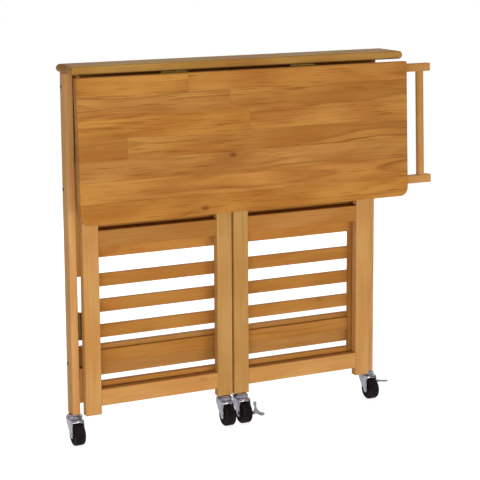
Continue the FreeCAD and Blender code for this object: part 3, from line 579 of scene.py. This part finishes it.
def forkSheet(spec, x, y):
    form = bmesh.new()
    half, top, bend = spec["forkHalf"], spec["crownTop"], spec["bend"]
    axle, boss, trail = spec["wheelRadius"], spec["boss"], spec["trail"]
    heights = [axle - boss * math.cos(math.radians(a)) for a in (9, 24, 40, 56, 72, 90)]
    heights += [axle + (top - bend - axle) * i / 16 for i in range(1, 17)]
    side = [(-half, z) for z in heights]
    for i in range(1, 7):
        a = math.radians(180 - 15 * i)
        side.append((-half + bend + bend * math.cos(a), top - bend + bend * math.sin(a)))
    path = side + [(-half * 0.4, top), (0, top), (half * 0.4, top)] + [(-px, pz) for px, pz in reversed(side)]

    def reach(z):  # front and back edge of the sheet at a height
        if z < axle:
            run = math.sqrt(max(0, boss ** 2 - (z - axle) ** 2))
            return -trail - run, -trail + run
        t = min(1, (z - axle) / (top - bend - axle))
        front = -trail - boss + (spec["crownFront"] + trail + boss) * t
        back = -trail + boss + (spec["crownBack"] + trail - boss) * t ** 0.8
        over = max(0, z - (top - spec["shoulder"])) / spec["shoulder"]  # rounds the upper back corner
        return front, back - spec["shoulder"] * (1 - math.sqrt(max(0, 1 - over ** 2)))

    rows = []
    for px, pz in path:
        front, back = reach(pz)
        rows.append([form.verts.new((x + px, y + front + (back - front) * i / 6, pz)) for i in range(7)])
    for one, two in zip(rows, rows[1:]):
        for i in range(6):
            form.faces.new((one[i], one[i + 1], two[i + 1], two[i]))
    bmesh.ops.recalc_face_normals(form, faces=form.faces)
    middle = max(form.faces, key=lambda f: f.calc_center_median().z)
    if middle.normal.z < 0:
        bmesh.ops.reverse_faces(form, faces=form.faces)
    bmesh.ops.solidify(form, geom=form.faces[:], thickness=spec["sheet"])
    return form


def buildCaster(spec, number, body):
    forkLow, forkHigh = (Vector(p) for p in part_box("fork_%d" % number))
    x = (forkLow.x + forkHigh.x) / 2
    y = forkHigh.y - spec["capRadius"]
    form = forkSheet(spec, x, y)
    turnProfile(form, capProfile, (x, y, 0), "z", 48)
    inside, webTop = spec["forkHalf"] - spec["sheet"] / 2, spec["crownTop"] - spec["sheet"] / 2
    down = spec["webDown"]
    web = [(-inside, down + 0.004), (-inside * 0.6, down), (inside * 0.6, down)]
    web += [(inside, down + 0.004), (inside, webTop), (-inside, webTop)]
    near, far = spec["webPlace"], spec["webPlace"] + spec["webThick"]
    addPrism(form, web, near, far, lambda u, v, w: (x + u, y + w, v))  # back wall between the cheeks
    keepPiece(
        "casterFork%d" % number, closeMesh("casterFork%d" % number, form), zincPlate,
        body + "_fork", ["fork_%d" % number],
    )
    hub = (x, y - spec["trail"], spec["wheelRadius"])
    form = bmesh.new()
    leftHalf = [(radius, -along) for radius, along in wheelHalf]
    turnProfile(form, leftHalf + wheelHalf[-2::-1] + leftHalf[:1], hub, "x", 72)
    keepPiece(
        "casterWheel%d" % number, closeMesh("casterWheel%d" % number, form), wheelBlack,
        body + "_wheel", ["wheel_%d" % number],
    )
    axleLow, axleHigh = (Vector(p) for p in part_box("axle_%d" % number))
    left, right = axleLow.x - x, axleHigh.x - x
    outer = spec["forkHalf"]
    form = bmesh.new()
    turnProfile(form, [
        (0, left), (0.0030, left + 0.0002), (0.0058, left + 0.0007), (0.0066, -outer - 0.0002),
        (0.0040, -outer + 0.0002), (0.0040, right - 0.0009), (0.0035, right - 0.0003), (0, right),
    ], hub, "x", 32)
    keepPiece(
        "casterAxle%d" % number, closeMesh("casterAxle%d" % number, form), zincPlate,
        body + "_fork", ["axle_%d" % number],
    )


for number in (1, 2, 3, 4):
    buildCaster(casterSpec, number, "caster_%d" % number)
print("casters built")

# brake levers: a hub, an arm to the front and a forked plate with a finger and a flared pedal
leverSpec = {
    "thick": 0.003, "bore": 0.00406, "hub": 0.0075, "fore": 0.014, "leaf": 0.0025, "stalk": 0.0034,
    "outline": [
        (0.0004, -0.0030), (0.0040, -0.0040), (0.0085, -0.0022), (0.0140, -0.0052), (0.0200, -0.0085),
        (0.0258, -0.0098), (0.0300, -0.0085), (0.0309, -0.0055), (0.0295, -0.0032), (0.0262, -0.0018),
        (0.0215, -0.0005), (0.0170, 0.0025), (0.0130, 0.0070), (0.0105, 0.0108), (0.0094, 0.0140),
        (0.0092, 0.0180), (0.0096, 0.0222), (0.0090, 0.0258), (0.0068, 0.0278), (0.0042, 0.0276),
        (0.0022, 0.0255), (0.0018, 0.0222), (0.0030, 0.0180), (0.0044, 0.0140), (0.0044, 0.0100),
        (0.0018, 0.0040),
    ],
}


def leverOutline(spec):  # smooth closed curve through the plate's outline points
    points = [Vector(p) for p in spec["outline"]]
    curve = []
    for i, b in enumerate(points):
        a, c, d = points[i - 1], points[(i + 1) % len(points)], points[(i + 2) % len(points)]
        for t in (0, 1 / 3, 2 / 3):
            spot = b * 2 + (c - a) * t + (a * 2 - b * 5 + c * 4 - d) * t ** 2
            curve.append((spot + (b * 3 - a - c * 3 + d) * t ** 3) / 2)
    return curve


def buildLever(spec, number, quarter):
    axleLow, axleHigh = (Vector(p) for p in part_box("axle_%d" % number))
    leverLow = Vector(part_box("brake_lever_%d" % number)[0])
    start = Vector((leverLow.x, (axleLow.y + axleHigh.y) / 2, (axleLow.z + axleHigh.z) / 2))
    spin = Matrix.Rotation(-quarter, 3, "X")

    def flat(u, v, w):
        return start + spin @ Vector((w, u, v))

    def upright(u, v, w):
        return start + spin @ Vector((u, w, v))

    form = bmesh.new()
    inner, outer, thick = spec["bore"], spec["hub"], spec["thick"]
    turnProfile(form, [(inner, 0), (outer, 0), (outer, thick), (inner, thick), (inner, 0)], start, "x", 40)
    fore, stalk = spec["fore"], spec["stalk"]
    addPrism(form, capsule((-0.006, 0), stalk, (-fore, 0), stalk), 0.0003, thick - 0.0003, flat)
    face = (-fore - spec["leaf"], -fore)
    addPrism(form, leverOutline(spec), *face, upright)
    lever = keepPiece(
        "brakeLever%d" % number, closeMesh("brakeLever%d" % number, form), leverGrey,
        "caster_%d_brake" % number, ["brake_lever_%d" % number],
    )
    softEdges(lever, 0.0007, 3)


buildLever(leverSpec, 3, 0)
buildLever(leverSpec, 4, math.pi / 2)
print("brake levers built")


# repeated pieces: trees with named inputs, turned into plain meshes before they are kept
def startTree(name, inputs):
    tree = bpy.data.node_groups.new(name, "GeometryNodeTree")
    tree.interface.new_socket("Geometry", in_out="OUTPUT", socket_type="NodeSocketGeometry")
    for label, kind in inputs:
        tree.interface.new_socket(label, in_out="INPUT", socket_type=kind)
    return tree, addNode(tree, "NodeGroupInput").outputs, addNode(tree, "NodeGroupOutput").inputs


def endTree(tree, shape, finish, sink):
    real = addNode(tree, "GeometryNodeRealizeInstances")
    painted = addNode(tree, "GeometryNodeSetMaterial")
    link(tree, shape, real.inputs[0])
    link(tree, real.outputs[0], painted.inputs["Geometry"])
    link(tree, finish, painted.inputs["Material"])
    link(tree, painted.outputs[0], sink[0])


def growMesh(name, tree, values, seed):
    obj = bpy.data.objects.new(name + "Seed", seed)
    scene.collection.objects.link(obj)
    grow = obj.modifiers.new("grow", "NODES")
    grow.node_group = tree
    for item in tree.interface.items_tree:
        if item.in_out == "INPUT" and item.name in values:
            grow[item.identifier] = values[item.name]
    made = obj.evaluated_get(bpy.context.evaluated_depsgraph_get())
    mesh = bpy.data.meshes.new_from_object(made)
    mesh.name = name
    obj.modifiers.remove(grow)
    bpy.data.objects.remove(obj)
    return mesh


def makeHeadTree():
    tree, given, sink = startTree("fixingHeads", [
        ("Spots", "NodeSocketGeometry"), ("Head", "NodeSocketObject"), ("Head Scale", "NodeSocketFloat"),
        ("Spin Seed", "NodeSocketInt"), ("Finish", "NodeSocketMaterial"),
    ])
    head = addNode(tree, "GeometryNodeObjectInfo")
    link(tree, given["Head"], head.inputs["Object"])
    facing = addNode(tree, "GeometryNodeInputNamedAttribute", {"Name": "facing"}, data_type="FLOAT_VECTOR")
    aim = addNode(tree, "FunctionNodeAlignRotationToVector", axis="Z")
    link(tree, facing.outputs["Attribute"], aim.inputs["Vector"])
    chance = addNode(tree, "FunctionNodeRandomValue", {2: 0.0, 3: math.tau}, data_type="FLOAT")
    link(tree, given["Spin Seed"], chance.inputs["Seed"])
    spin = addNode(tree, "FunctionNodeAxisAngleToRotation", {"Axis": (0, 0, 1)})
    link(tree, chance.outputs[1], spin.inputs["Angle"])
    turn = addNode(tree, "FunctionNodeRotateRotation", rotation_space="LOCAL")
    link(tree, aim.outputs[0], turn.inputs[0])
    link(tree, spin.outputs[0], turn.inputs[1])
    scatter = addNode(tree, "GeometryNodeInstanceOnPoints")
    link(tree, given["Spots"], scatter.inputs["Points"])
    link(tree, head.outputs["Geometry"], scatter.inputs["Instance"])
    link(tree, turn.outputs[0], scatter.inputs["Rotation"])
    link(tree, given["Head Scale"], scatter.inputs["Scale"])
    endTree(tree, scatter.outputs[0], given["Finish"], sink)
    return tree


# one head of a crosshead screw and one of a hex socket bolt, facing up at the origin
screwSpec = {"radius": 0.0031, "dome": 0.0006, "recess": 0.0006, "arm": 0.0017, "half": 0.00035}
boltSpec = {"radius": 0.0044, "dome": 0.0005, "recess": 0.0022, "hex": 0.0023}


def makeHead(name, spec, recess):
    form = bmesh.new()
    radius, dome = spec["radius"], spec["dome"]
    rings = []
    for share, height in ((1, -0.0004), (1, 0.2 * dome), (0.93, 0.75 * dome), (0.82, dome)):
        ring = bmesh.ops.create_circle(form, segments=24, radius=radius * share)["verts"]
        bmesh.ops.translate(form, vec=(0, 0, height), verts=ring)
        rings.append(ring)
    for height in (dome, dome - spec["recess"]):
        rings.append([form.verts.new((u, v, height)) for u, v in recess])
        for a, b in zip(rings[-1], rings[-1][1:] + rings[-1][:1]):
            form.edges.new((a, b))
    for one, two in zip(rings, rings[1:]):
        edges = [e for e in form.edges if all(v in one for v in e.verts) or all(v in two for v in e.verts)]
        bmesh.ops.bridge_loops(form, edges=edges)
    form.faces.new(rings[0])
    form.faces.new(rings[-1])
    head = bpy.data.objects.new(name, closeMesh(name, form))
    scene.collection.objects.link(head)
    return head


arm, half = screwSpec["arm"], screwSpec["half"]
quarterCross = [(half, half), (half, arm), (-half, arm)]
crossRecess = []
for quarter in range(4):
    for u, v in quarterCross:
        for step in range(quarter):
            u, v = -v, u
        crossRecess.append((u, v))
hexTurns = [i * math.pi / 3 for i in range(6)]
hexRecess = [(boltSpec["hex"] * math.cos(a), boltSpec["hex"] * math.sin(a)) for a in hexTurns]
screwHead = makeHead("screwHead", screwSpec, crossRecess)
boltHead = makeHead("boltHead", boltSpec, hexRecess)
headTree = makeHeadTree()


def fixHeads(name, body, spots, head, finish):  # spots: place and facing direction
    seed = bpy.data.meshes.new(name + "Spots")
    seed.from_pydata([place for place, facing in spots], [], [])
    facings = seed.attributes.new("facing", "FLOAT_VECTOR", "POINT")
    for entry, (place, facing) in zip(facings.data, spots):
        entry.vector = facing
    values = {"Head": head, "Head Scale": 1.0, "Spin Seed": len(spots), "Finish": finish}
    keepPiece(name, growMesh(name, headTree, values, seed), None, body)


hingeSpec = {"long": 0.0635, "inset": 0.008, "sheet": 0.002, "shares": (0.16, 0.5, 0.84)}
armSpec = {"deep": 0.020, "screws": (0.016, 0.040), "first": 0.0095, "high": 0.019, "pitch": 0.267}


def hingeRuns(low, high, spec):  # screw places along the two hinges of a pair
    return [first + share * spec["long"] for first in (low, high - spec["long"]) for share in spec["shares"]]


def onLeaf(x, y, z):  # place drawn from the hanging pin to the swung-out leaf
    turned = Matrix.Rotation(-math.radians(leafPin["tilt"]), 3, "X") @ Vector((0, y, z))
    return Vector((x, 0, 0)) + Vector(leafPin["place"]) + turned


leafFacing = Matrix.Rotation(-math.radians(leafPin["tilt"]), 3, "X") @ Vector((0, 1, 0))
low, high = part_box("leaf_hinges_fixed")
runs = hingeRuns(low[0], high[0], hingeSpec)
plateBack = -leafPin["knuckle"] + hingeSpec["sheet"]
plateMid = leafPin["wide"] - hingeSpec["inset"]
leafSpots = [(onLeaf(x, plateBack, -plateMid), leafFacing) for x in runs]
plateY, plateZ = leafPin["place"][1] + plateMid, leafPin["place"][2] - plateBack
frameSpots = [((x, plateY, plateZ), (0, 0, -1)) for x in runs]
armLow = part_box("towel_arm_upper")[0]
armBack = armSpec["deep"] - leafPin["knuckle"]
armMid = armSpec["first"] + armSpec["high"] / 2
for drop in (armMid, armMid + armSpec["pitch"]):
    leafSpots += [(onLeaf(armLow[0] + run, armBack, -drop), leafFacing) for run in armSpec["screws"]]
fixHeads("leafScrews", "drop_leaf", leafSpots, screwHead, screwSteel)
for side, sign in (("left", 1), ("right", -1)):
    low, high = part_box(side + "_gate_hinges_moving")
    runs = hingeRuns(low[2], high[2], hingeSpec)
    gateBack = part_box(side + "_gate_outer_stile")[1][1]
    x = high[0] - hingeSpec["inset"] if side == "left" else low[0] + hingeSpec["inset"]
    spots = [((x, gateBack + hingeSpec["sheet"], z), (0, 1, 0)) for z in runs]
    low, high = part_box(side + "_gate_cleats")
    for share in (0.06, 0.35, 0.65, 0.94):
        x = low[0] + share * (high[0] - low[0])
        spots += [((x, high[1], z), (0, 1, 0)) for z in (low[2] + 0.006, high[2] - 0.006)]
    fixHeads(side + "GateScrews", side + "_gate", spots, screwHead, screwSteel)
    low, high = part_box(side + "_gate_hinges_fixed")
    x = low[0] + hingeSpec["sheet"] if side == "left" else high[0] - hingeSpec["sheet"]
    frameSpots += [((x, high[1] - hingeSpec["inset"], z), (sign, 0, 0)) for z in runs]
fixHeads("frameScrews", "frame", frameSpots, screwHead, screwSteel)

boltSpots = []
for side, sign in (("left", -1), ("right", 1)):
    low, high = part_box("frame_bolts_" + side)
    legLow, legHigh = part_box("leg_" + side)
    face = legLow[0] if side == "left" else legHigh[0]
    mid = (low[1] + high[1]) / 2
    inset = (high[1] - low[1]) / 2
    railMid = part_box("back_rail_upper")[1][2] - 0.036
    for z in (low[2] + inset, railMid, high[2] - inset):
        boltSpots.append(((face, mid, z), (sign, 0, 0)))
fixHeads("frameBoltHeads", "frame", boltSpots, boltHead, darkSteel)
for head in (screwHead, boltHead):
    bpy.data.objects.remove(head)
print("screws and bolt heads set")


# shelf slats: one row per shelf, edges eased
slatSpec = {"count": 4, "width": 0.030, "ease": 0.0012}


def makeSlatTree():
    tree, given, sink = startTree("slatRow", [
        ("Count", "NodeSocketInt"), ("First", "NodeSocketVector"), ("Step", "NodeSocketVector"),
        ("Size", "NodeSocketVector"), ("Finish", "NodeSocketMaterial"),
    ])
    row = addNode(tree, "GeometryNodeMeshLine", mode="OFFSET")
    link(tree, given["Count"], row.inputs["Count"])
    link(tree, given["First"], row.inputs["Start Location"])
    link(tree, given["Step"], row.inputs["Offset"])
    slat = addNode(tree, "GeometryNodeMeshCube", {"Vertices X": 9})
    link(tree, given["Size"], slat.inputs["Size"])
    lay = addNode(tree, "GeometryNodeInstanceOnPoints")
    link(tree, row.outputs[0], lay.inputs["Points"])
    link(tree, slat.outputs[0], lay.inputs["Instance"])
    endTree(tree, lay.outputs[0], given["Finish"], sink)
    return tree


slatTree = makeSlatTree()
for level, seed in (("lower", 71), ("upper", 74)):
    node = level + "_shelf_slats"
    low, high = (Vector(p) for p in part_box(node))
    pitch = (high.z - low.z - slatSpec["width"]) / (slatSpec["count"] - 1)
    middle = (low + high) / 2
    values = {
        "Count": slatSpec["count"],
        "First": (middle.x, middle.y, low.z + slatSpec["width"] / 2),
        "Step": (0, 0, pitch),
        "Size": (high.x - low.x, high.y - low.y, slatSpec["width"]),
        "Finish": boardWood(node, "shelf", "x", seed),
    }
    mesh = growMesh(level + "Slats", slatTree, values, bpy.data.meshes.new(level + "SlatSeed"))
    slats = keepPiece(level + "Slats", mesh, None, level + "_shelf", [node])
    softEdges(slats, slatSpec["ease"])
print("slats laid")
